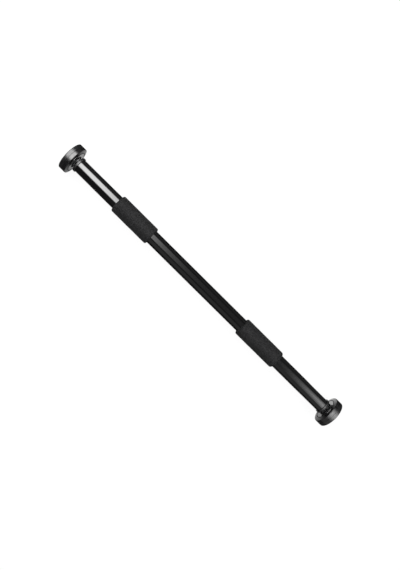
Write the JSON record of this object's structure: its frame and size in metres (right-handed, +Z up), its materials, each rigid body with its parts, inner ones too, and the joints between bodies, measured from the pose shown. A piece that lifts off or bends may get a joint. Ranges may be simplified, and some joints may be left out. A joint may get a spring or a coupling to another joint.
{
  "type": "pull up bar",
  "caption": "Doorway pull-up bar: a straight steel tube with foam grips, and a screw-out foot with a lock nut at each end.",
  "frame": {"origin": "centre of the bar, on its axis, with both feet screwed in", "axes": "+X along the bar towards the right foot, +Z up, +Y towards the back"},
  "size_m": [0.7082, 0.0586, 0.0586],
  "materials": {
    "black_enamel": "gloss stoved enamel",
    "black_foam": "matte closed-cell foam",
    "black_plastic": "gloss moulded",
    "black_rubber": "satin moulded",
    "black_steel": "gloss black plated",
    "bright_zinc": "bright zinc plated"
  },
  "bodies": {
    "bar": {"main_tube": "black_enamel", "left_grip": "black_foam", "right_grip": "black_foam", "left_end_cap": "black_plastic", "right_end_cap": "black_plastic", "left_threaded_bush": "bright_zinc", "right_threaded_bush": "bright_zinc"},
    "left_stud": {"left_stud": "bright_zinc"},
    "left_foot": {"left_flange_plate": "bright_zinc", "left_back_plate": "black_steel", "left_foot_shell": "black_plastic", "left_foot_pad": "black_rubber"},
    "left_nut": {"left_lock_nut": "bright_zinc"},
    "right_stud": {"right_stud": "bright_zinc"},
    "right_foot": {"right_flange_plate": "bright_zinc", "right_back_plate": "black_steel", "right_foot_shell": "black_plastic", "right_foot_pad": "black_rubber"},
    "right_nut": {"right_lock_nut": "bright_zinc"}
  },
  "joints": [
    {"name": "left_stud_slide", "type": "slide", "parent": "bar", "child": "left_stud", "axis": [-1, 0, 0], "range_m": [0, 0.035]},
    {"name": "left_foot_turn", "type": "hinge", "parent": "left_stud", "child": "left_foot", "pos_m": [-0.345, 0, 0], "axis": [-1, 0, 0], "range_deg": [0, 7200]},
    {"name": "left_nut_run", "type": "slide", "parent": "bar", "child": "left_nut", "axis": [1, 0, 0], "range_m": [0, 0.0017]},
    {"name": "right_stud_slide", "type": "slide", "parent": "bar", "child": "right_stud", "axis": [1, 0, 0], "range_m": [0, 0.035]},
    {"name": "right_foot_turn", "type": "hinge", "parent": "right_stud", "child": "right_foot", "pos_m": [0.345, 0, 0], "axis": [1, 0, 0], "range_deg": [0, 7200]},
    {"name": "right_nut_run", "type": "slide", "parent": "bar", "child": "right_nut", "axis": [-1, 0, 0], "range_m": [0, 0.0017]}
  ],
  "couplings": [
    {"joint": "left_stud_slide", "follows": "left_foot_turn", "m_per_rad": 0.0002785},
    {"joint": "right_stud_slide", "follows": "right_foot_turn", "m_per_rad": 0.0002785}
  ]
}
